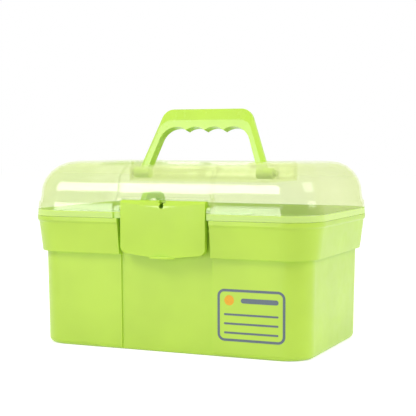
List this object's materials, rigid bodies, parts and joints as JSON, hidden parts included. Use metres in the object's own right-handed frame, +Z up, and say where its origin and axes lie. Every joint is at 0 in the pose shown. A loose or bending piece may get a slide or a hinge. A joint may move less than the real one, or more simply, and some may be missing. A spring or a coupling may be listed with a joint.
{
  "type": "craft storage box",
  "caption": "Moulded craft storage box with a clear domed hinged lid, a front snap latch, a folding carrying handle and a lift-out tray.",
  "frame": {"origin": "centre of the underside, on the surface that the box stands on", "axes": "+X along the box to the right as seen from the front, +Y towards the hinges at the back, +Z up"},
  "size_m": [0.3, 0.2101, 0.2344],
  "materials": {
    "box_plastic": "moulded satin gloss",
    "lid_plastic": "translucent moulded gloss",
    "latch_plastic": "moulded gloss",
    "handle_plastic": "moulded satin gloss",
    "tray_plastic": "moulded gloss"
  },
  "bodies": {
    "base": {"base_box": "box_plastic"},
    "lid": {"clear_lid": "lid_plastic"},
    "latch": {"front_latch": "latch_plastic"},
    "handle": {"carry_handle": "handle_plastic"},
    "tray": {"lift_out_tray": "tray_plastic"}
  },
  "joints": [
    {"name": "lid_hinge", "type": "hinge", "parent": "base", "child": "lid", "pos_m": [0, 0.1034, 0.129], "axis": [-1, 0, 0], "range_deg": [0, 100]},
    {"name": "latch_hinge", "type": "hinge", "parent": "lid", "child": "latch", "pos_m": [0, -0.0923, 0.1388], "axis": [-1, 0, 0], "range_deg": [0, 100]},
    {"name": "handle_fold", "type": "hinge", "parent": "lid", "child": "handle", "pos_m": [0, -0.001, 0.17], "axis": [1, 0, 0], "range_deg": [-78, 40]},
    {"name": "tray_lift", "type": "slide", "parent": "base", "child": "tray", "axis": [0, 0, 1], "range_m": [0, 0.08]}
  ],
  "couplings": [
    {"joint": "tray_lift", "follows": "lid_hinge", "m_per_rad": 0.0458}
  ]
}
